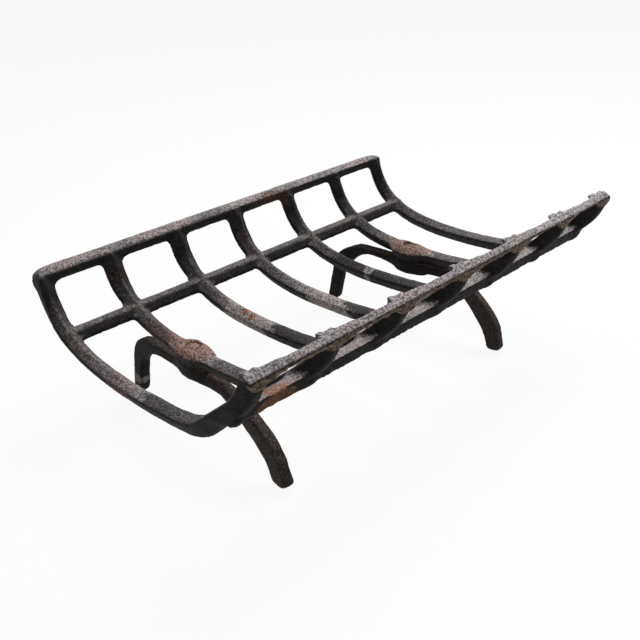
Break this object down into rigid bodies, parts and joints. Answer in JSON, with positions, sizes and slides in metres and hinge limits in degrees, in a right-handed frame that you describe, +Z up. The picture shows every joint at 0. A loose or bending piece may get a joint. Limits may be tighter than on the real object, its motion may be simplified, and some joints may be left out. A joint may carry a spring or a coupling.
{
  "type": "log grate",
  "caption": "Cast iron log grate: a slatted cradle that turns up at the front and back, on arched legs bolted under two of its bars.",
  "frame": {"origin": "on the floor, under the middle of the grate", "axes": "+Z up, +X along the rails, -Y to the front, where the rib tips stand highest"},
  "size_m": [0.5326, 0.368, 0.1968],
  "materials": {
    "basket_iron": "rough sand-cast surface, burnt black-brown with rust and pale ash",
    "leg_iron": "rough sand-cast surface, dark with rust in the hollows",
    "rusted_bolt": "rusted and burnt",
    "rusted_nut": "rusted and burnt"
  },
  "bodies": {
    "root": {"basket": "basket_iron", "left_leg": "leg_iron", "right_leg": "leg_iron", "left_bolt": "rusted_bolt", "right_bolt": "rusted_bolt", "left_washer": "rusted_nut", "right_washer": "rusted_nut", "left_nut": "rusted_nut", "right_nut": "rusted_nut"}
  },
  "joints": []
}
